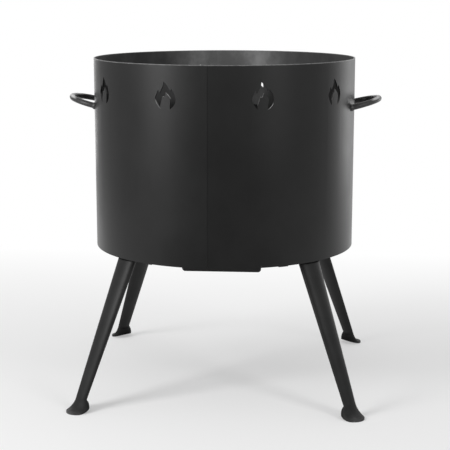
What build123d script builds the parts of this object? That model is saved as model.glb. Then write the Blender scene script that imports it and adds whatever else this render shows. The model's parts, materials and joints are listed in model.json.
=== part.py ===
from build123d import *
import math
import os

os.makedirs("parts", exist_ok=True)

# A round steel fire stove that a cauldron hangs in. Sizes are millimetres. The origin is on the
# floor under the stove's axis, +Z is up, the front is at -Y and the handles are at +X and -X.
# An angle round the wall is measured from the front towards +X, so the back is at 180.

# Hairline gap at a weld, and how far a cut runs past what it cuts
weld_gap = 0.05
cut_over = 5

# Rolled wall
shell_radius = 200
shell_wall = 2
shell_height = 288
leg_height = 218
seam_angle = -2.3
seam_width = 0.8
seam_depth = 0.4

# Flame cut-outs
flame_width = 32
flame_height = 38.4
flame_drop = 23.6
flame_first_angle = 20.1
flame_second_angle = 57.6
flame_last_angle = 163
flame_rear_count = 3

# Floor plate
floor_depth = 40
floor_sheet = 2
tab_count = 6
tab_width = 15
tab_show = 1.5
ash_hole_width = 86
ash_hole_length = 150
ash_hole_corner = 10

# Fire grate
grate_width = 122
grate_length = 188
grate_height = 12
grate_frame = 14
grate_corner = 12
grate_bar = 7
grate_gap = 9
grate_lug = 8
grate_lug_depth = 5
grate_play = 1
seat_gap = 0.2

# Ash chute, drawer and runners
sheet = 1.5
chute_gap = 2
drawer_width = 98
drawer_depth = 24
drawer_floor_gap = 1.5
drawer_lip = 7.5
drawer_reach = 90
front_width = 120
front_corner = 5
front_shift = 2.5
edge_gap = 2
slide_gap = 0.3
runner_side_gap = 0.5
runner_foot = 7.5
runner_flange = 12

# Legs, hollow and oval, from the wall's lower edge to the floor
leg_angles = {"front_left": -45, "front_right": 45.4, "back_right": 133, "back_left": -135}
leg_inset = 12
foot_reach = 84.5
leg_wall = 2
leg_top_thickness = 15.5
leg_top_width = 39
leg_middle_thickness = 13
leg_middle_width = 31
ankle_height = 19
ankle_thickness = 11
ankle_width = 22.5
instep_height = 11.2
instep_length = 17.8
instep_width = 29
instep_tilt = -9.5
instep_setback = 2.8
foot_setback = 1.2
foot_edge = 2.2
foot_length = 34
foot_width = 33.5
heel_rise = 6.5
sole_dip = 0.5
leg_top_gap = 7

# Leg sockets with their bolts
socket_wall = 2.5
socket_play = 0.3
socket_foot_gap = 5
bolt_diameter = 6
bolt_head_flats = 10
bolt_head_height = 4
bolt_hole_play = 0.3
bolt_end = 1
thread_gap = 0.05
washer_diameter = 12
washer_height = 1.6
nut_height = 5

# Handles
handle_rod = 8.6
handle_drop = 72
handle_rise = 10.5
handle_half_span = 44.5
handle_reach = 42
handle_root = 4
bead_radius = 5.6
bead_tip_radius = 3.7
bead_length = 4.2

# Feed opening and door, the opening as high as the sill and the wall left under the flames allow
feed_width = 150
feed_corner = 14
feed_sill = 25
feed_head = 29
door_lap = 10
door_gap = 0.4
door_sheet = 2
door_corner = 18

# Door hinges
hinge_setback = 14
barrel_radius = 5
barrel_height = 18
barrel_gap = 0.3
pin_radius = 2.5
pin_fit = 0.02
pin_play = 0.06
pin_short = 2
strap_sheet = 2
strap_length = 94
strap_setback = 30
leaf_sheet = 2
leaf_length = 26
rivet_radius = 2
rivet_head_radius = 3.6
rivet_head = 1.6
rivet_places = (86, 52)

# Turn latch
latch_setback = 24
latch_length = 50
latch_tail = 9
latch_width = 14
latch_sheet = 3
latch_spacer = 1
latch_play = 0.06
latch_head_radius = 6
latch_head_height = 3
grip_radius = 4
grip_height = 16
grip_place = 28
keeper_width = 12
keeper_gap = 0.4
keeper_sheet = 3
keeper_lip = 11

# Levels and radii worked out from the sizes above
wall_bottom = leg_height
rim = wall_bottom + shell_height
inner_radius = shell_radius - shell_wall
floor_bottom = wall_bottom + floor_depth
floor_top = floor_bottom + floor_sheet
floor_radius = inner_radius - weld_gap

# Round forms stand on their plane or hang under it
above = (Align.CENTER, Align.CENTER, Align.MIN)
below = (Align.CENTER, Align.CENTER, Align.MAX)


def around(angle, radius, height):
    """The point at an angle from the front, a radius from the axis and a height."""
    turn = math.radians(angle)
    return Vector(radius * math.sin(turn), -radius * math.cos(turn), height)


def wall_plane(angle, radius, height):
    """A plane that faces outward: seen from outside, X is to the right and Y is up."""
    return Plane(
        origin=around(angle, radius, height),
        x_dir=around(angle + 90, 1, 0),
        z_dir=around(angle, 1, 0),
    )


def leg_plane(angle, radius, height, tilt):
    """A plane across a leg: X points away from the stove's axis, raised by the tilt."""
    rise = math.radians(tilt)
    out = around(angle, math.cos(rise), math.sin(rise))
    up = around(angle, -math.sin(rise), math.cos(rise))
    return Plane(origin=around(angle, radius, height), x_dir=out, z_dir=up)


def save(builder, name):
    """Label a finished piece and write it."""
    builder.part.label = name
    export_step(builder.part, f"parts/{name}.step")


# Outline of one flame, in shares of its width and height, from the middle of its foot
flame_left_shares = [(-0.08, 1.0), (-0.125, 0.80), (-0.20, 0.68), (-0.27, 0.575)]
flame_left_tongue_share = (-0.345, 0.705)
flame_left_belly_shares = [
    (-0.345, 0.705),
    (-0.44, 0.515),
    (-0.50, 0.365),
    (-0.455, 0.25),
    (-0.355, 0.115),
    (-0.235, 0.0),
]
flame_inner_left_shares = [(-0.235, 0.0), (-0.215, 0.21), (-0.165, 0.335), (-0.135, 0.455)]
flame_inner_step_shares = [(-0.135, 0.455), (-0.025, 0.455), (0.035, 0.60)]
flame_inner_right_shares = [
    (0.035, 0.60),
    (0.145, 0.505),
    (0.24, 0.41),
    (0.257, 0.27),
    (0.24, 0.135),
    (0.235, 0.0),
]
flame_right_belly_shares = [
    (0.235, 0.0),
    (0.375, 0.09),
    (0.48, 0.22),
    (0.50, 0.30),
    (0.46, 0.515),
    (0.295, 0.745),
]
flame_right_notch_share = (0.265, 0.63)
flame_right_shares = [(0.265, 0.63), (0.145, 0.81), (0.02, 0.935), (-0.08, 1.0)]


def flame_point(share):
    return (share[0] * flame_width, share[1] * flame_height)


def flame_points(shares):
    return [flame_point(share) for share in shares]


with BuildSketch() as flame_outline:
    with BuildLine():
        Spline(*flame_points(flame_left_shares))
        Line(flame_point(flame_left_shares[-1]), flame_point(flame_left_tongue_share))
        Spline(*flame_points(flame_left_belly_shares))
        Spline(*flame_points(flame_inner_left_shares))
        Polyline(*flame_points(flame_inner_step_shares))
        Spline(*flame_points(flame_inner_right_shares))
        Spline(*flame_points(flame_right_belly_shares))
        Line(flame_point(flame_right_belly_shares[-1]), flame_point(flame_right_notch_share))
        Spline(*flame_points(flame_right_shares))
    make_face()

# The angles of the first, second and last flames are given and the others lie evenly between.
flame_step = (flame_last_angle - flame_second_angle) / flame_rear_count
flame_half_ring = [flame_first_angle, flame_second_angle]
flame_half_ring += [flame_second_angle + flame_step * (count + 1) for count in range(flame_rear_count)]
flame_angles = flame_half_ring + [-angle for angle in flame_half_ring]
flame_foot = rim - flame_drop - flame_height
flame_cut = shell_wall + flame_width / 4

feed_bottom = floor_top + feed_sill
feed_height = flame_foot - feed_head - feed_bottom
feed_middle = feed_bottom + feed_height / 2

# Body shell: a rolled and butt-welded wall with its flames and its feed opening
with BuildPart() as body_shell:
    with BuildSketch(Plane.XY.offset(wall_bottom)):
        Circle(shell_radius)
        Circle(inner_radius, mode=Mode.SUBTRACT)
    extrude(amount=shell_height)
    for angle in flame_angles:
        with BuildSketch(wall_plane(angle, shell_radius, flame_foot)):
            add(flame_outline.sketch)
        extrude(amount=flame_cut, both=True, mode=Mode.SUBTRACT)
    with BuildSketch(wall_plane(180, shell_radius + cut_over, feed_middle)):
        RectangleRounded(feed_width, feed_height, feed_corner)
    extrude(amount=-feed_width / 2, mode=Mode.SUBTRACT)
    with BuildSketch(wall_plane(seam_angle, shell_radius - seam_depth, wall_bottom + shell_height / 2)):
        Rectangle(seam_width, shell_height + 2 * cut_over)
    extrude(amount=cut_over, mode=Mode.SUBTRACT)
save(body_shell, "body_shell")

# Floor plate: set up inside the wall, with an ash hole and tabs bent down to the wall's edge
with BuildPart() as floor_plate:
    with BuildSketch(Plane.XY.offset(floor_bottom)):
        Circle(floor_radius)
        RectangleRounded(ash_hole_width, ash_hole_length, ash_hole_corner, mode=Mode.SUBTRACT)
    extrude(amount=floor_sheet)
    with BuildSketch(Plane.XY.offset(wall_bottom - tab_show)):
        with PolarLocations(floor_radius, tab_count, start_angle=180 / tab_count - 90):
            Rectangle(2 * tab_width, tab_width)
        Circle(floor_radius, mode=Mode.INTERSECT)
        Circle(floor_radius - floor_sheet, mode=Mode.SUBTRACT)
    extrude(amount=floor_depth + tab_show)
save(floor_plate, "floor_plate")

# Fire grate: a loose cast grate over the ash hole, kept in place by lugs in its corners
grate_bottom = floor_top + seat_gap
grate_slot_length = grate_length - 2 * grate_frame
grate_slot_count = int((grate_width - 2 * grate_frame + grate_bar) // (grate_gap + grate_bar))
lug_x = ash_hole_width / 2 - grate_play - grate_lug / 2
lug_y = ash_hole_length / 2 - ash_hole_corner - grate_lug / 2
with BuildPart() as fire_grate:
    with BuildSketch(Plane.XY.offset(grate_bottom)):
        RectangleRounded(grate_width, grate_length, grate_corner)
        with GridLocations(grate_gap + grate_bar, 0, grate_slot_count, 1):
            SlotOverall(grate_slot_length, grate_gap, rotation=90, mode=Mode.SUBTRACT)
    extrude(amount=grate_height)
    with BuildSketch(Plane.XY.offset(floor_top - grate_lug_depth)):
        with GridLocations(2 * lug_x, 2 * lug_y, 2, 2):
            Rectangle(grate_lug, grate_lug)
    extrude(amount=grate_lug_depth + seat_gap + grate_height / 2)
save(fire_grate, "fire_grate")

# Ash drawer: a folded tray with side lips that hang on two runners
drawer_top = wall_bottom - 2 * edge_gap
drawer_bottom = drawer_top - drawer_depth
drawer_inner_width = drawer_width - 2 * sheet
front_back = -drawer_reach + sheet
drawer_length = drawer_reach - front_back
drawer_middle = (drawer_reach + front_back) / 2
with BuildPart() as ash_drawer:
    with BuildSketch(Plane.XY.offset(drawer_bottom)):
        with Locations((0, drawer_middle)):
            Rectangle(drawer_width, drawer_length)
    extrude(amount=drawer_depth)
    with BuildSketch(Plane.XY.offset(drawer_top - sheet)):
        with Locations((0, drawer_middle)):
            Rectangle(drawer_width + 2 * drawer_lip, drawer_length)
    extrude(amount=sheet)
    with BuildSketch(Plane.XY.offset(drawer_bottom + sheet)):
        with Locations((0, drawer_middle)):
            Rectangle(drawer_inner_width, drawer_length - 2 * sheet)
    extrude(amount=drawer_depth, mode=Mode.SUBTRACT)
save(ash_drawer, "ash_drawer")

front_bottom = drawer_bottom - drawer_floor_gap
front_height = wall_bottom - edge_gap - front_bottom
with BuildPart() as ash_drawer_front:
    with BuildSketch(Plane.XZ.offset(-front_back)):
        with Locations((front_shift, front_bottom + front_height / 2)):
            RectangleRounded(front_width, front_height, front_corner)
    extrude(amount=sheet)
save(ash_drawer_front, "ash_drawer_front")

# Ash chute: a short sheet frame from the ash hole down to the drawer
with BuildPart() as ash_chute:
    with BuildSketch(Plane.XY.offset(drawer_top + chute_gap)):
        RectangleRounded(ash_hole_width + 2 * sheet, ash_hole_length + 2 * sheet, ash_hole_corner + sheet)
        RectangleRounded(ash_hole_width, ash_hole_length, ash_hole_corner, mode=Mode.SUBTRACT)
    extrude(amount=floor_bottom - drawer_top - chute_gap)
save(ash_chute, "ash_chute")

# Drawer runners: folded Z strips that hang from the floor plate
lip_edge = drawer_width / 2 + drawer_lip
runner_inside = lip_edge + runner_side_gap
runner_outside = runner_inside + sheet
runner_foot_top = drawer_top - sheet - slide_gap
runner_front = front_back + slide_gap
runner_length = drawer_reach + sheet - runner_front
for side, hand in (("left", -1), ("right", 1)):
    with BuildPart() as runner:
        with BuildSketch(Plane.XZ.offset(-runner_front)):
            with BuildLine():
                Polyline(
                    (hand * (runner_outside - runner_foot), runner_foot_top - sheet),
                    (hand * runner_outside, runner_foot_top - sheet),
                    (hand * runner_outside, floor_bottom - sheet),
                    (hand * (runner_inside + runner_flange), floor_bottom - sheet),
                    (hand * (runner_inside + runner_flange), floor_bottom),
                    (hand * runner_inside, floor_bottom),
                    (hand * runner_inside, runner_foot_top),
                    (hand * (runner_outside - runner_foot), runner_foot_top),
                    close=True,
                )
            make_face()
        extrude(amount=-runner_length)
    save(runner, f"{side}_drawer_runner")

# Legs: hollow ovals that lean outward, each with a hoof-shaped foot that bears on its toe
leg_top_radius = shell_radius - leg_inset
foot_radius = shell_radius + foot_reach
leg_run = foot_radius - leg_top_radius
lean = math.degrees(math.atan2(leg_run, leg_height))
axis_rise = math.cos(math.radians(lean))
axis_run = math.sin(math.radians(lean))
leg_stub = (floor_depth - leg_top_gap - leg_top_thickness / 2 * axis_run) / axis_rise
foot_middle = foot_radius - foot_setback
toe = foot_middle + foot_length / 2
heel = foot_middle - foot_length / 2


def on_leg(angle, height, tilt):
    """A plane across a leg where its axis is at a height above the floor."""
    return leg_plane(angle, foot_radius - leg_run * height / leg_height, height, tilt)


def leg_form(angle, inset):
    """One leg's outside, or its hollow when it is set in by the wall."""
    with BuildPart() as form:
        with BuildSketch(on_leg(angle, leg_height, lean)):
            Ellipse(leg_top_thickness / 2 - inset, leg_top_width / 2 - inset)
        extrude(amount=leg_stub)
        with BuildSketch(on_leg(angle, leg_height, lean)):
            Ellipse(leg_top_thickness / 2 - inset, leg_top_width / 2 - inset)
        with BuildSketch(on_leg(angle, (leg_height + ankle_height) / 2, lean)):
            Ellipse(leg_middle_thickness / 2 - inset, leg_middle_width / 2 - inset)
        with BuildSketch(on_leg(angle, ankle_height, lean)):
            Ellipse(ankle_thickness / 2 - inset, ankle_width / 2 - inset)
        loft()
        with BuildSketch(on_leg(angle, ankle_height, lean)):
            Ellipse(ankle_thickness / 2 - inset, ankle_width / 2 - inset)
        with BuildSketch(on_leg(angle, instep_height, instep_tilt)):
            with Locations((-instep_setback, 0)):
                Ellipse(instep_length / 2 - inset, instep_width / 2 - inset)
        with BuildSketch(leg_plane(angle, foot_middle, foot_edge, 0)):
            Ellipse(foot_length / 2 - inset, foot_width / 2 - inset)
        loft()
        with BuildSketch(leg_plane(angle, foot_middle, 0, 0)):
            Ellipse(foot_length / 2 - inset, foot_width / 2 - inset)
        extrude(amount=foot_edge)
    return form.part


socket_inner_thickness = leg_top_thickness / 2 + socket_play
socket_inner_width = leg_top_width / 2 + socket_play
socket_thickness = socket_inner_thickness + socket_wall
socket_width = socket_inner_width + socket_wall
bolt_height = leg_height + (socket_foot_gap + floor_depth) / 2
bolt_radius = foot_radius - leg_run * bolt_height / leg_height
hollow_thickness = leg_top_thickness / 2 - leg_wall
hollow_width = leg_top_width / 2 - leg_wall
nut_seat = hollow_thickness * math.sqrt(1 - (bolt_head_flats / 2 / hollow_width) ** 2) - thread_gap


def bolt_plane(angle, offset):
    """A plane across a leg bolt, its Z along the bolt, away from the stove's axis."""
    turn = math.radians(lean)
    out = around(angle, math.cos(turn), math.sin(turn))
    origin = around(angle, bolt_radius, bolt_height) + out * offset
    return Plane(origin=origin, x_dir=around(angle + 90, 1, 0), z_dir=out)


for corner, angle in leg_angles.items():
    with BuildPart() as leg:
        add(leg_form(angle, 0))
        add(leg_form(angle, leg_wall), mode=Mode.SUBTRACT)
        with BuildSketch(leg_plane(angle, foot_middle, 0, 0)):
            Ellipse(foot_length / 2 - leg_wall, foot_width / 2 - leg_wall)
        extrude(amount=-cut_over, mode=Mode.SUBTRACT)
        with BuildSketch(on_leg(angle, leg_height + leg_stub * axis_rise, lean)):
            Ellipse(leg_top_thickness, leg_top_width)
        extrude(amount=cut_over, mode=Mode.SUBTRACT)
        with BuildSketch(Plane((0, 0, 0), x_dir=around(angle, 1, 0), z_dir=around(angle - 90, 1, 0))):
            with BuildLine():
                Bezier((toe, -sole_dip), (foot_middle, -sole_dip), (heel, heel_rise))
                Polyline(
                    (heel, heel_rise),
                    (heel - cut_over, heel_rise),
                    (heel - cut_over, -heel_rise),
                    (toe, -heel_rise),
                    (toe, -sole_dip),
                )
            make_face()
        extrude(amount=foot_width, both=True, mode=Mode.SUBTRACT)
        with BuildSketch(bolt_plane(angle, -leg_top_thickness)):
            Circle(bolt_diameter / 2 + bolt_hole_play)
        extrude(amount=leg_top_thickness, mode=Mode.SUBTRACT)
    save(leg, f"{corner}_leg")

# Leg sockets: oval sleeves welded under the floor plate, hidden by the wall's lower edge
socket_foot = leg_height + socket_foot_gap
for corner, angle in leg_angles.items():
    with BuildPart() as socket:
        with BuildSketch(on_leg(angle, socket_foot, lean)):
            Ellipse(socket_thickness, socket_width)
            Ellipse(socket_inner_thickness, socket_inner_width, mode=Mode.SUBTRACT)
        extrude(amount=2 * floor_depth)
        split(bisect_by=Plane.XY.offset(floor_bottom), keep=Keep.BOTTOM)
        with BuildSketch(bolt_plane(angle, -2 * socket_thickness)):
            Circle(bolt_diameter / 2 + bolt_hole_play)
        extrude(amount=2 * socket_thickness, mode=Mode.SUBTRACT)
    save(socket, f"{corner}_leg_socket")

# Leg bolts, washers and the nuts that are welded inside the legs
washer_seat = -socket_thickness - thread_gap
head_seat = washer_seat - washer_height
with BuildPart() as leg_bolts:
    for angle in leg_angles.values():
        with BuildSketch(bolt_plane(angle, head_seat)):
            RegularPolygon(bolt_head_flats / 2, 6, major_radius=False)
        extrude(amount=-bolt_head_height)
        with BuildSketch(bolt_plane(angle, head_seat)):
            Circle(bolt_diameter / 2)
        extrude(amount=nut_height + bolt_end - nut_seat - head_seat)
save(leg_bolts, "leg_bolts")

with BuildPart() as leg_washers:
    for angle in leg_angles.values():
        with BuildSketch(bolt_plane(angle, head_seat)):
            Circle(washer_diameter / 2)
            Circle(bolt_diameter / 2 + bolt_hole_play, mode=Mode.SUBTRACT)
        extrude(amount=washer_height)
save(leg_washers, "leg_washers")

with BuildPart() as leg_nuts:
    for angle in leg_angles.values():
        with BuildSketch(bolt_plane(angle, -nut_seat)):
            RegularPolygon(bolt_head_flats / 2, 6, major_radius=False)
            Circle(bolt_diameter / 2 + thread_gap, mode=Mode.SUBTRACT)
        extrude(amount=nut_height)
save(leg_nuts, "leg_nuts")

# Handles: round rod bent to a half oval, tilted up and welded to the wall at both ends
handle_height = rim - handle_drop
handle_root_x = math.sqrt(shell_radius**2 - handle_half_span**2)
handle_tilt = math.degrees(math.atan2(handle_rise, handle_reach))
handle_length = math.hypot(handle_reach, handle_rise)
for side, hand in (("left", -1), ("right", 1)):
    out = Vector(hand * math.cos(math.radians(handle_tilt)), 0, math.sin(math.radians(handle_tilt)))
    loop_plane = Plane(
        origin=(hand * handle_root_x, 0, handle_height),
        x_dir=out,
        z_dir=out.cross(Vector(0, hand, 0)),
    )
    with BuildPart() as handle:
        with BuildLine(loop_plane) as loop:
            near = Line((-handle_root, -handle_half_span), (0, -handle_half_span))
            EllipticalCenterArc((0, 0), handle_length, handle_half_span, start_angle=-90, arc_size=180)
            Line((0, handle_half_span), (-handle_root, handle_half_span))
        with BuildSketch(Plane(origin=near @ 0, z_dir=near % 0)):
            Circle(handle_rod / 2)
        sweep()
        for end in (-handle_half_span, handle_half_span):
            foot = loop_plane.from_local_coords(Vector(0, end, 0))
            with Locations(Plane(origin=foot, z_dir=out)):
                Cylinder(bead_radius, handle_root, align=below)
                Cone(bead_radius, bead_tip_radius, bead_length, align=above)
        with BuildSketch(Plane.XY.offset(wall_bottom)):
            Circle(shell_radius + weld_gap)
        extrude(amount=shell_height, mode=Mode.SUBTRACT)
    save(handle, f"{side}_handle")

# Feed door: a curved panel that laps over the feed opening
door_inner = shell_radius + door_gap
door_outer = door_inner + door_sheet
door_width = feed_width + 2 * door_lap
door_height = feed_height + 2 * door_lap
door_bottom = feed_bottom - door_lap
door_top = door_bottom + door_height
door_half_angle = math.degrees(math.asin(door_width / 2 / door_outer))
hinge_angle = 180 - door_half_angle - math.degrees(hinge_setback / door_outer)
latch_angle = 180 + door_half_angle - math.degrees(latch_setback / door_outer)
rivet_angles = [hinge_angle + math.degrees(place / door_outer) for place in rivet_places]
strap_heights = {"lower": door_bottom + strap_setback, "upper": door_top - strap_setback}
with BuildPart() as feed_door:
    with BuildSketch(Plane.XY.offset(door_bottom)):
        Circle(door_outer)
        Circle(door_inner, mode=Mode.SUBTRACT)
    extrude(amount=door_height)
    with BuildSketch(wall_plane(180, door_outer + cut_over, feed_middle)):
        RectangleRounded(door_width, door_height, door_corner)
    extrude(amount=-door_width / 2, mode=Mode.INTERSECT)
    for height in strap_heights.values():
        for angle in rivet_angles:
            with BuildSketch(wall_plane(angle, door_inner - cut_over, height)):
                Circle(rivet_radius + thread_gap)
            extrude(amount=door_sheet + 2 * cut_over, mode=Mode.SUBTRACT)
    with BuildSketch(wall_plane(latch_angle, door_inner - cut_over, feed_middle)):
        Circle(bolt_diameter / 2 + thread_gap)
    extrude(amount=door_sheet + 2 * cut_over, mode=Mode.SUBTRACT)
save(feed_door, "feed_door")

# Door hinges: curved straps on the door turn on pins that stand in brackets on the wall
strap_inner = door_outer + weld_gap
barrel_place = strap_inner + barrel_radius
hinge_point = around(hinge_angle, barrel_place, 0)
strap_tip = around(hinge_angle + math.degrees(strap_length / door_outer), strap_inner, 0)
for level, height in strap_heights.items():
    with BuildPart() as strap:
        with BuildSketch(Plane.XY.offset(height - barrel_height / 2)):
            Circle(strap_inner + strap_sheet)
            Circle(strap_inner, mode=Mode.SUBTRACT)
        extrude(amount=barrel_height)
        with BuildSketch(wall_plane(180, strap_inner + cut_over, height)):
            with Locations((-(strap_tip.X + hinge_point.X) / 2, 0)):
                RectangleRounded(hinge_point.X - strap_tip.X, barrel_height, barrel_height / 2 - thread_gap)
            with Locations((barrel_height / 4 - hinge_point.X, 0)):
                Rectangle(barrel_height / 2, barrel_height)
        extrude(amount=-shell_radius / 2, mode=Mode.INTERSECT)
        with BuildSketch(Plane.XY.offset(height - barrel_height / 2)):
            with Locations((hinge_point.X, hinge_point.Y)):
                Circle(barrel_radius)
        extrude(amount=barrel_height)
        with BuildSketch(Plane.XY.offset(height - barrel_height)):
            with Locations((hinge_point.X, hinge_point.Y)):
                Circle(pin_radius + pin_play)
        extrude(amount=2 * barrel_height, mode=Mode.SUBTRACT)
        for angle in rivet_angles:
            with BuildSketch(wall_plane(angle, strap_inner - cut_over, height)):
                Circle(rivet_radius + thread_gap)
            extrude(amount=strap_sheet + 2 * cut_over, mode=Mode.SUBTRACT)
    save(strap, f"{level}_hinge_strap")

leaf_inner = shell_radius + weld_gap
leaf_angle = hinge_angle - math.degrees(leaf_length / 2 / leaf_inner)
for level, height in strap_heights.items():
    bracket_bottom = height - barrel_height / 2 - barrel_gap - barrel_height
    bracket_middle = bracket_bottom + barrel_height / 2
    with BuildPart() as bracket:
        with BuildSketch(Plane.XY.offset(bracket_bottom)):
            Circle(leaf_inner + leaf_sheet)
        extrude(amount=barrel_height)
        with BuildSketch(wall_plane(leaf_angle, leaf_inner + cut_over, bracket_middle)):
            Rectangle(leaf_length, barrel_height)
        extrude(amount=-2 * cut_over, mode=Mode.INTERSECT)
        with BuildSketch(wall_plane(hinge_angle, leaf_inner, bracket_middle)):
            Rectangle(barrel_radius, barrel_height)
        extrude(amount=barrel_place - leaf_inner)
        with BuildSketch(Plane.XY.offset(bracket_bottom)):
            with Locations((hinge_point.X, hinge_point.Y)):
                Circle(barrel_radius)
        extrude(amount=barrel_height)
        with BuildSketch(Plane.XY.offset(bracket_bottom - cut_over)):
            with Locations((hinge_point.X, hinge_point.Y)):
                Circle(pin_radius + pin_fit)
            Circle(leaf_inner)
        extrude(amount=barrel_height + 2 * cut_over, mode=Mode.SUBTRACT)
    save(bracket, f"{level}_hinge_bracket")

with BuildPart() as hinge_pins:
    for height in strap_heights.values():
        with BuildSketch(Plane.XY.offset(height - barrel_height / 2 - barrel_gap - barrel_height)):
            with Locations((hinge_point.X, hinge_point.Y)):
                Circle(pin_radius)
        extrude(amount=2 * barrel_height + barrel_gap - pin_short)
save(hinge_pins, "hinge_pins")

# Strap rivets: domed outside, headed inside the door
with BuildPart() as strap_rivets:
    for height in strap_heights.values():
        for angle in rivet_angles:
            with BuildSketch(wall_plane(angle, door_inner - thread_gap - rivet_head, height)):
                Circle(rivet_head_radius)
            extrude(amount=rivet_head)
            with BuildSketch(wall_plane(angle, door_inner - thread_gap, height)):
                Circle(rivet_radius)
            extrude(amount=door_sheet + strap_sheet + weld_gap + 2 * thread_gap)
            with Locations(wall_plane(angle, strap_inner + strap_sheet + thread_gap, height)):
                Cone(rivet_head_radius, rivet_radius, rivet_head, align=above)
save(strap_rivets, "strap_rivets")

# Turn latch: a flat lever that hangs from a bolt on the door and turns up behind a keeper
latch_plane = wall_plane(latch_angle, door_outer, feed_middle)
lever_inner = latch_spacer + thread_gap
lever_outer = lever_inner + latch_sheet
with BuildPart() as turn_latch:
    with BuildSketch(latch_plane.offset(lever_inner)):
        with Locations((0, (latch_tail - latch_length) / 2)):
            SlotOverall(latch_length + latch_tail, latch_width, rotation=90)
        Circle(bolt_diameter / 2 + latch_play, mode=Mode.SUBTRACT)
    extrude(amount=latch_sheet)
    with BuildSketch(latch_plane.offset(lever_inner + latch_sheet / 2)):
        with Locations((0, -grip_place)):
            Circle(grip_radius)
    extrude(amount=grip_height)
save(turn_latch, "turn_latch")

with BuildPart() as latch_bolt:
    with BuildSketch(latch_plane.offset(lever_outer + thread_gap)):
        Circle(latch_head_radius)
    extrude(amount=latch_head_height)
    with BuildSketch(latch_plane.offset(lever_outer + thread_gap)):
        Circle(bolt_diameter / 2)
    extrude(amount=-(lever_outer + 2 * thread_gap + door_sheet + nut_height + bolt_end))
save(latch_bolt, "latch_bolt")

with BuildPart() as latch_washer:
    with BuildSketch(latch_plane):
        Circle(washer_diameter / 2)
        Circle(bolt_diameter / 2 + thread_gap, mode=Mode.SUBTRACT)
    extrude(amount=latch_spacer)
save(latch_washer, "latch_washer")

with BuildPart() as latch_nut:
    with BuildSketch(latch_plane.offset(-door_sheet - 2 * thread_gap)):
        RegularPolygon(bolt_head_flats / 2, 6, major_radius=False)
        Circle(bolt_diameter / 2 + thread_gap, mode=Mode.SUBTRACT)
    extrude(amount=-nut_height)
save(latch_nut, "latch_nut")

keeper_right = latch_length
keeper_foot = latch_width / 2 + keeper_gap
keeper_top = keeper_foot + keeper_sheet
lip_inner = lever_outer + keeper_gap
lip_outer = lip_inner + keeper_sheet
with BuildPart() as latch_keeper:
    with BuildSketch(latch_plane.offset(lip_outer)):
        with Locations((keeper_right - keeper_width / 2, keeper_foot + keeper_sheet / 2)):
            Rectangle(keeper_width, keeper_sheet)
    extrude(amount=-lip_outer - latch_length / 2)
    with BuildSketch(latch_plane.offset(lip_inner)):
        with Locations((keeper_right - keeper_width / 2, keeper_top - keeper_lip / 2)):
            Rectangle(keeper_width, keeper_lip)
    extrude(amount=keeper_sheet)
    with BuildSketch(Plane.XY.offset(wall_bottom)):
        Circle(shell_radius + weld_gap)
    extrude(amount=shell_height, mode=Mode.SUBTRACT)
save(latch_keeper, "latch_keeper")
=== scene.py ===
import json
import math
from functools import cached_property, reduce

import bpy
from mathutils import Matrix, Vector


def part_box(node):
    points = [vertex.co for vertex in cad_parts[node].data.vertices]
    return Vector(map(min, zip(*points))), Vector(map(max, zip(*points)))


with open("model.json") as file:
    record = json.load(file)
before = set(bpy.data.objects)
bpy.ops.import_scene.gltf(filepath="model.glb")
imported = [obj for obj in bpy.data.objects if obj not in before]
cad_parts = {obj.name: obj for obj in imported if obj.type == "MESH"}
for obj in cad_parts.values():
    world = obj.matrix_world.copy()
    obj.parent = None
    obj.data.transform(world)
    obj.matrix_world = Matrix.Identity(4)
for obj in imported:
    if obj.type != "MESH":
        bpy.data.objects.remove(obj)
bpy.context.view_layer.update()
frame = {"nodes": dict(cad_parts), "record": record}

# The wall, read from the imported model, with its sheet's thickness, in metres, and the way to its seam, in
# degrees from the front towards +X
shell_low, shell_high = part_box("body_shell")
shell_radius = shell_high.x
shell_bottom = shell_low.z
rim = shell_high.z
shell_wall = 0.002
seam_angle = -2.3

# Camera: the photograph's view, found from the wall's and the feet's outlines
camera_lens = 99.0
camera_sensor = 36
camera_place = (0.1511, -1.9096, 0.6157)
camera_pitch = math.radians(11.01)
camera_turn = math.radians(4.5)

# Studio: how bright the room looks in front of the stove and at its sides, the even light that it gives,
# and the way to the middle of its white backdrop, in degrees from the front towards +X
studio_front = 0.26
studio_side = 0.48
even_light = 0.5
backdrop_angle = 165

# Floor: the paper, the glow that lightens its shadows where it is looked at, and the ground before it
floor_size = 60
floor_drop = 0.0002
paper_grey = 0.90
paper_glow = 0.95
shadow_lift = 0.3
ground_grey = 0.45

# Where the ground gives way to paper and the paper to the backdrop, along y, and where the floor gives way
# to the room, as a distance from the stove's axis
paper_start = (-0.95, -0.45)
backdrop_start = (-0.33, 0.92)
room_start = (1.1, 2.2)

# How far the soft boxes stand from the stove's axis
lamp_reach = 2.4

# The middle range of a noise, where its patches lie
patchy = (0.3, 0.7)


def grey(value):
    return (value, value, value, 1)


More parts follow.
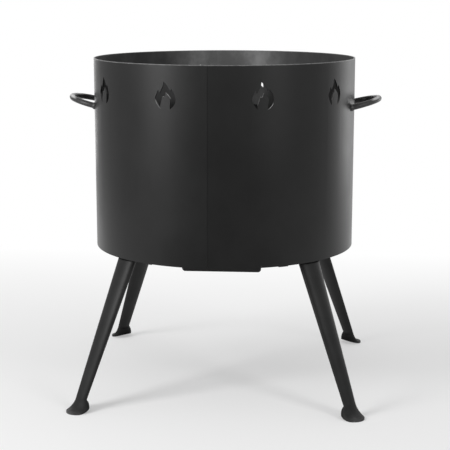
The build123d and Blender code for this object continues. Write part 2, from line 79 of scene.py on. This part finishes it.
class Shader:
    """The node tree of a material or of the world, with short names for the nodes that are used here."""

    def __init__(self, owner):
        self.owner = owner
        self.owner.use_nodes = True
        self.tree = owner.node_tree
        self.tree.nodes.clear()

    def add(self, kind, settings=None, **inputs):
        """A node with its settings. An input's name has _ for each blank, and takes a number or a link."""
        node = self.tree.nodes.new("ShaderNode" + kind)
        for key, value in (settings or {}).items():
            setattr(node, key, value)
        for key, value in inputs.items():
            self.feed(node.inputs[key.replace("_", " ")], value)
        return node

    def feed(self, socket, value):
        if isinstance(value, bpy.types.NodeSocket):
            self.tree.links.new(value, socket)
        else:
            socket.default_value = value

    def axes(self, vector):
        return self.add("SeparateXYZ", Vector=vector).outputs

    @cached_property
    def place(self):
        """Where the point lies in the stove's own frame, in metres."""
        return self.add("TexCoord").outputs["Object"]

    @cached_property
    def point(self):
        """The point's x, y and z."""
        return self.axes(self.place)

    @cached_property
    def radius(self):
        """How far the point lies from the stove's axis."""
        return self.length(self.point[0], self.point[1])

    @cached_property
    def facing(self):
        """The x, y and z of the way that the surface faces."""
        return self.axes(self.add("TexCoord").outputs["Normal"])

    @cached_property
    def outward(self):
        """How much the surface faces away from the stove's axis: the radius if straight away from it."""
        return self.plus(self.times(self.facing[0], self.point[0]), self.times(self.facing[1], self.point[1]))

    def calc(self, operation, *values):
        """One step of arithmetic, such as DIVIDE, LESS_THAN or SQRT."""
        node = self.add("Math", {"operation": operation})
        for socket, value in zip(node.inputs, values):
            self.feed(socket, value)
        return node.outputs[0]

    def times(self, *values):
        return reduce(lambda first, second: self.calc("MULTIPLY", first, second), values)

    def plus(self, *values):
        return reduce(lambda first, second: self.calc("ADD", first, second), values)

    def most(self, *values):
        return reduce(lambda first, second: self.calc("MAXIMUM", first, second), values)

    def length(self, x, y):
        return self.calc("SQRT", self.plus(self.times(x, x), self.times(y, y)))

    def toward(self, x, y, angle):
        """How far a point lies in the direction at an angle from the front towards +X."""
        turn = math.radians(angle)
        return self.plus(self.times(x, math.sin(turn)), self.times(y, -math.cos(turn)))

    def mixed(self, share, first, second):
        return self.plus(self.times(self.calc("SUBTRACT", 1, share), first), self.times(share, second))

    def spread(self, value, start, result=(0, 1), smooth=True):
        """Carries a value from one range to another, held at both ends."""
        node = self.add("MapRange", {"interpolation_type": "SMOOTHSTEP" if smooth else "LINEAR"}, Value=value)
        for name, end in zip(("From Min", "From Max", "To Min", "To Max"), (*start, *result)):
            self.feed(node.inputs[name], end)
        return node.outputs["Result"]

    def around(self, angle, start, result=(0, 1)):
        """A mark about an angle. It starts and is whole at two cosines of the angle away from it."""
        cosine = self.calc("DIVIDE", self.toward(self.point[0], self.point[1], angle), self.radius)
        return self.spread(cosine, start, result)

    def noise(self, scale, detail, roughness, stretch=(1, 1, 1)):
        """Clouds that are fixed to the stove. The scale is in patches per metre."""
        place = self.add("Mapping", Vector=self.place, Scale=stretch).outputs["Vector"]
        node = self.add("TexNoise", Vector=place, Scale=scale, Detail=detail, Roughness=roughness)
        return node.outputs["Fac"]

    def blend(self, share, first, second):
        """A mix of two tones. A Mix node's colours come after its numbers and vectors."""
        node = self.add("Mix", {"data_type": "RGBA"})
        for socket, value in zip((node.inputs[0], node.inputs[6], node.inputs[7]), (share, first, second)):
            self.feed(socket, value)
        return node.outputs[2]

    def bump(self, height, strength, distance):
        return self.add("Bump", Height=height, Strength=strength, Distance=distance).outputs["Normal"]

    def looked_at(self):
        """1 where the surface is seen, also in gloss or through glass, and 0 for the light it gives."""
        rays = self.add("LightPath").outputs
        return self.most(rays["Is Camera Ray"], rays["Is Glossy Ray"], rays["Is Transmission Ray"])

    def painted(self, tone, gloss, shine):
        """A coat of paint with a fine orange-peel skin."""
        skin = self.bump(self.noise(900, detail=2, roughness=0.6), strength=0.2, distance=0.00006)
        return self.surfaced(tone, gloss, skin, Specular_IOR_Level=shine)

    def surfaced(self, tone, gloss, skin, **uniform):
        """A surface. What is the same all over it is a number on the shader's own socket."""
        body = self.add("BsdfPrincipled", Base_Color=tone, Roughness=gloss, Normal=skin, **uniform)
        return self.finish(body.outputs["BSDF"])

    def finish(self, surface):
        kind = "OutputWorld" if isinstance(self.owner, bpy.types.World) else "OutputMaterial"
        self.add(kind, Surface=surface)
        return self.owner


def black_paint():
    """Satin black heat-proof paint with slow changes of tone and gloss."""
    dark, light = grey(0.011), grey(0.0143)
    satin = (0.33, 0.40)
    shader = Shader(bpy.data.materials.new("black_paint"))
    cloud = shader.noise(14, detail=4, roughness=0.6)
    tone = shader.blend(shader.spread(cloud, patchy), dark, light)
    return shader.painted(tone, shader.spread(cloud, patchy, satin), shine=0.32)


def wall_outside(shader):
    """The outside's tone and gloss: duller towards the rim, with painted shade towards the foot and past the
    seam.
    """
    shaded_foot, top, cloudy, painted_seam_shade = grey(0.0065), grey(0.012), grey(0.018), grey(0.004)
    foot_gloss, top_gloss = 0.30, 0.39
    shade_width = 0.06
    shade_share = 0.12

    cloud = shader.noise(14, detail=4, roughness=0.6)
    height = shader.spread(shader.point[2], (shell_bottom, rim), smooth=False)
    # Painted shade just past the seam, for the sheet end's slightly different reflection
    past_seam = shader.toward(shader.point[0], shader.point[1], 90 + seam_angle)
    shade = shader.spread(past_seam, (0, shade_width), (shade_share, 0))
    shade = shader.times(shader.calc("GREATER_THAN", past_seam, 0), shade)
    # Painted shade: the tone darkens from the rim towards the foot, where less light falls
    tone = shader.blend(height, shaded_foot, top)
    tone = shader.blend(shader.spread(cloud, patchy, (0, 0.2)), tone, cloudy)
    tone = shader.blend(shade, tone, painted_seam_shade)
    gloss = shader.mixed(height, foot_gloss, top_gloss)
    return tone, shader.plus(gloss, shader.spread(cloud, patchy, (0, 0.04)))


def wall_inside(shader):
    """The inside's tone: black, with pale ash at the back, marks left by the fire, and painted light and
    shade.
    """
    # ashen is also the tone of the painted light and the painted highlight
    black, ashen = grey(0.010), grey(0.2)
    upright = (1, 1, 0.7)

    # The ways to the marks, in degrees from the front towards +X, and the heights where they fade
    ash_angle = 184
    highlight_angle = 169
    soot_angle = 152.5
    pale_angle = 212
    under_rim = (rim - 0.061, rim - 0.021)
    lower_shade = (rim - 0.138, rim - 0.112)
    soot_top = (rim - 0.081, rim - 0.051)
    pale_foot = (rim - 0.096, rim - 0.076)
    pale_top = (rim - 0.048, rim - 0.036)

    z = shader.point[2]
    blotch = shader.noise(22, detail=5, roughness=0.62, stretch=upright)
    ash = shader.most(shader.around(ash_angle, (0.8, 1), (0.05, 0.9)), shader.spread(z, under_rim, (0, 0.2)))
    ash = shader.times(ash, shader.spread(blotch, (0.34, 0.66), (0.45, 1)))
    # Painted highlight on the back wall
    painted_highlight = shader.times(shader.around(highlight_angle, (0.985, 0.999), (0, 0.25)), blotch)
    # Painted light near the rim, fading to painted shade lower down, over the ash and the highlight
    painted_light_by_height = shader.most(shader.spread(z, lower_shade, (0.06, 0.3)), shader.spread(z, under_rim, (0.06, 1)))
    soot = shader.times(shader.around(soot_angle, (0.972, 0.990)), shader.spread(z, soot_top, (0.95, 0)))
    # From here ash also holds the painted light and shade and the painted highlight
    ash = shader.times(painted_light_by_height, shader.calc("SUBTRACT", 1, soot), shader.plus(ash, painted_highlight))
    pale = shader.around(pale_angle, (0.976, 0.992), (0, 0.34))
    pale = shader.times(pale, shader.spread(z, pale_foot, (0.1, 1)), shader.spread(z, pale_top, (1, 0)))
    return shader.blend(shader.most(ash, pale), black, ashen)


def wall_edges(shader):
    """Where the sheet's cut edges lie, and their tone: dark, with a patchy painted highlight on the front
    sills and along the rim.
    """
    # The cut edges' dark tone, and the tone of their painted highlight
    painted, edge_highlight = grey(0.004), grey(0.4)
    rim_top = (rim - 0.0014, rim - 0.0008)
    front_angle = 0

    # A cut edge faces away from the stove's axis by less than this share
    edge_share = 0.93

    z = shader.point[2]
    wear = shader.noise(160, detail=3, roughness=0.6)
    limit = shader.times(shader.radius, edge_share)
    cut = shader.calc("LESS_THAN", shader.calc("ABSOLUTE", shader.outward), limit)
    front = shader.around(front_angle, (0.6, 0.85), (0.05, 1))
    # Painted highlight on the upward-facing sills of the front cut-outs, patchy like worn paint
    painted_sill_light = shader.times(front, shader.spread(shader.facing[2], (0.1, 0.55)))
    painted_sill_light = shader.times(painted_sill_light, shader.spread(wear, (0.35, 0.65), (0.4, 1)))
    # worn is the painted highlight on the sills and along the rim's rounded edge
    worn = shader.most(painted_sill_light, shader.spread(z, rim_top, (0, 0.6)))
    lip = shader.times(shader.spread(z, rim_top), shader.spread(wear, (0.3, 0.6), (0.2, 0.5)))
    return shader.most(cut, lip), shader.blend(worn, painted, edge_highlight)


def wall_paint():
    """The wall's paint: satin outside, dull and blotchy inside, dark on every cut edge, with painted light
    and shade.
    """
    inner_gloss = 0.62

    # How much of the sheet's thickness, from outside, has the outside's finish
    outer_share = 0.75

    shader = Shader(bpy.data.materials.new("wall_paint"))
    inside = shader.calc("LESS_THAN", shader.radius, shell_radius - outer_share * shell_wall)
    outer_tone, outer_gloss = wall_outside(shader)
    edge, edge_tone = wall_edges(shader)
    tone = shader.blend(inside, outer_tone, wall_inside(shader))
    tone = shader.blend(edge, tone, edge_tone)
    return shader.painted(tone, shader.mixed(inside, outer_gloss, inner_gloss), shine=0.3)


def leg_paint():
    """The legs' paint: painted shadow under the wall's edge, painted shade at the heels, dusty towards the
    toes.
    """
    # black is the tone of the painted shadow and shade
    dark, light, dust, black = grey(0.008), grey(0.013), grey(0.1), grey(0.001)
    foot_gloss, top_gloss, gap_gloss = 0.64, 0.48, 1

    # Distances from the stove's axis, and heights, between which the tones change
    heel_radii = (0.268, 0.284)
    toe_radii = (0.284, 0.303)
    heel_heights = (0.008, 0.022)
    toe_heights = (0.004, 0.03)
    leg_heights = (0.02, 0.17)
    gap_heights = (shell_bottom - 0.0034, shell_bottom - 0.0024)

    shader = Shader(bpy.data.materials.new("leg_paint"))
    z = shader.point[2]
    cloud = shader.noise(30, detail=4, roughness=0.6)
    wear = shader.noise(70, detail=4, roughness=0.6)
    toe = shader.times(shader.spread(shader.radius, toe_radii), shader.spread(z, toe_heights, (1, 0)))
    dusty = shader.times(toe, shader.spread(wear, (0.35, 0.65), (0.2, 1)))
    # Painted shadow cast by the wall's edge on the leg's outer side, just below the edge
    painted_gap_shadow = shader.times(shader.spread(z, gap_heights), shader.calc("GREATER_THAN", shader.outward, 0))
    # Painted shade in the hollow under each heel
    painted_heel_shade = shader.spread(shader.radius, heel_radii, (1, 0))
    painted_heel_shade = shader.times(painted_heel_shade, shader.spread(z, heel_heights, (0.8, 0)))
    painted_shadow = shader.most(painted_gap_shadow, painted_heel_shade)
    tone = shader.blend(shader.spread(cloud, patchy), dark, light)
    tone = shader.blend(dusty, tone, dust)
    tone = shader.blend(painted_shadow, tone, black)
    gloss = shader.mixed(painted_shadow, shader.spread(z, leg_heights, (foot_gloss, top_gloss)), gap_gloss)
    return shader.painted(tone, gloss, shine=0.25)


def handle_paint():
    """The handles' paint, with a painted highlight on top of the bend."""
    black, painted_glint = grey(0.036), grey(0.55)
    satin = (0.36, 0.46)

    # Distances from the stove's middle along x, between which the painted highlight starts and ends
    bend_start = (0.223, 0.231)
    bend_end = (0.234, 0.241)

    shader = Shader(bpy.data.materials.new("handle_paint"))
    cloud = shader.noise(30, detail=4, roughness=0.6)
    reach = shader.calc("ABSOLUTE", shader.point[0])
    bend = shader.times(shader.spread(reach, bend_start), shader.spread(reach, bend_end, (1, 0.15)))
    # Painted highlight where the bend faces up
    painted_glint_mask = shader.times(bend, shader.spread(shader.facing[2], (0.3, 0.9)))
    tone = shader.blend(painted_glint_mask, black, painted_glint)
    return shader.painted(tone, shader.spread(cloud, patchy, satin), shine=0.35)


def cast_iron():
    """Rough cast iron with patches of pale ash."""
    iron, ashen = grey(0.03), grey(0.075)
    rough = (0.6, 0.8)
    shader = Shader(bpy.data.materials.new("cast_iron"))
    sand = shader.noise(420, detail=6, roughness=0.7)
    ash = shader.noise(30, detail=5, roughness=0.7)
    tone = shader.blend(shader.spread(ash, (0.45, 0.7)), iron, ashen)
    skin = shader.bump(sand, strength=0.7, distance=0.0005)
    return shader.surfaced(tone, shader.spread(sand, patchy, rough), skin, Metallic=0.3)


def dark_steel():
    """Blackened steel of bolts, pins and rivets, with worn patches."""
    blackened, worn = grey(0.05), grey(0.16)
    satin = (0.34, 0.5)
    shader = Shader(bpy.data.materials.new("dark_steel"))
    wear = shader.noise(260, detail=4, roughness=0.6)
    grain = shader.noise(1500, detail=2, roughness=0.5)
    tone = shader.blend(shader.spread(wear, (0.45, 0.75)), blackened, worn)
    skin = shader.bump(grain, strength=0.2, distance=0.00005)
    return shader.surfaced(tone, shader.spread(wear, patchy, satin), skin, Metallic=0.85)


def studio_tone(shader, x, y):
    """How bright the studio is in a direction: white behind the stove, grey at its sides, dark in front."""
    nearly_zero = 0.001
    front_to_side = (-0.75, 0.1)
    side_to_back = (0.32, 0.70)
    reach = shader.most(shader.length(x, y), nearly_zero)
    back = shader.calc("DIVIDE", shader.toward(x, y, backdrop_angle), reach)
    room = shader.spread(back, front_to_side, (studio_front, studio_side))
    return shader.most(room, shader.spread(back, side_to_back))


def studio_floor():
    """Pale paper that turns into the white backdrop behind the stove and ends in front of it."""
    shader = Shader(bpy.data.materials.new("studio_floor"))
    x, y = shader.point[0], shader.point[1]
    paper = shader.spread(y, paper_start)
    backdrop = shader.spread(y, backdrop_start, smooth=False)
    room = shader.spread(shader.radius, room_start)
    bright = shader.mixed(backdrop, shader.times(paper, paper_glow), 1)
    bright = shader.mixed(room, bright, studio_tone(shader, x, y))
    lift = shader.times(shader.looked_at(), shader.most(backdrop, room, shadow_lift))
    sheet = shader.add("BsdfDiffuse", Color=shader.blend(paper, grey(ground_grey), grey(paper_grey)))
    glow = shader.add("Emission", Color=grey(1), Strength=bright)
    lit = shader.add("MixShader")
    for socket, value in zip(lit.inputs, (lift, sheet.outputs["BSDF"], glow.outputs["Emission"])):
        shader.feed(socket, value)
    return shader.finish(lit.outputs["Shader"])


def studio_world():
    """The studio where it is seen past the floor or in gloss, and an even light on the object."""
    shader = Shader(bpy.data.worlds.new("studio"))
    way = shader.axes(shader.add("TexCoord").outputs["Generated"])
    strength = shader.mixed(shader.looked_at(), even_light, studio_tone(shader, way[0], way[1]))
    light = shader.add("Background", Color=grey(1), Strength=strength)
    return shader.finish(light.outputs["Background"])


def soft_box(name, angle, middle, width, tall, power):
    """An upright soft box at an angle from the front towards +X, turned to face the stove."""
    lamp = bpy.data.lights.new(name, "AREA")
    lamp.shape = "RECTANGLE"
    lamp.size = width
    lamp.size_y = tall
    lamp.energy = power
    turn = math.radians(angle)
    holder = bpy.data.objects.new(name, lamp)
    holder.location = (lamp_reach * math.sin(turn), -lamp_reach * math.cos(turn), middle)
    holder.rotation_euler = (math.pi / 2, 0, turn)
    bpy.context.collection.objects.link(holder)


# Camera
camera = bpy.data.objects.new("photo_camera", bpy.data.cameras.new("photo_camera"))
camera.data.lens = camera_lens
camera.data.sensor_width = camera_sensor
camera.location = camera_place
camera.rotation_euler = (math.pi / 2 - camera_pitch, 0, camera_turn)
bpy.context.collection.objects.link(camera)
bpy.context.scene.camera = camera
bpy.context.scene.view_settings.view_transform = "Standard"

# Studio
bpy.context.scene.world = studio_world()
bpy.ops.mesh.primitive_plane_add(size=floor_size, location=(0, 0, -floor_drop))
floor = bpy.context.object
floor.name = "studio_floor"
floor.data.materials.append(studio_floor())

# Lamps
soft_box("key_left", angle=-50, middle=1.4, width=0.9, tall=1.9, power=56)
soft_box("fill_right", angle=46.5, middle=1.5, width=0.6, tall=1.9, power=20)
soft_box("edge_right", angle=135, middle=0.33, width=0.9, tall=0.62, power=3.3)
soft_box("edge_left", angle=-152, middle=0.33, width=0.4, tall=0.62, power=1.5)

# Finishes: a node has its material slot's, but for the wall, the legs and the handles
slot_finishes = {"satin_black_paint": black_paint(), "cast_grate": cast_iron(), "steel_fixings": dark_steel()}
slots = {part["node"]: part["material_slot"] for part in frame["record"]["subparts"]}
finishes = {name: slot_finishes[slot] for name, slot in slots.items()}
finishes["body_shell"] = wall_paint()
finishes.update(dict.fromkeys([name for name in slots if name.endswith("_leg")], leg_paint()))
finishes.update(dict.fromkeys([name for name in slots if name.endswith("_handle")], handle_paint()))
for name, node in frame["nodes"].items():
    node.data.materials.clear()
    node.data.materials.append(finishes[name])
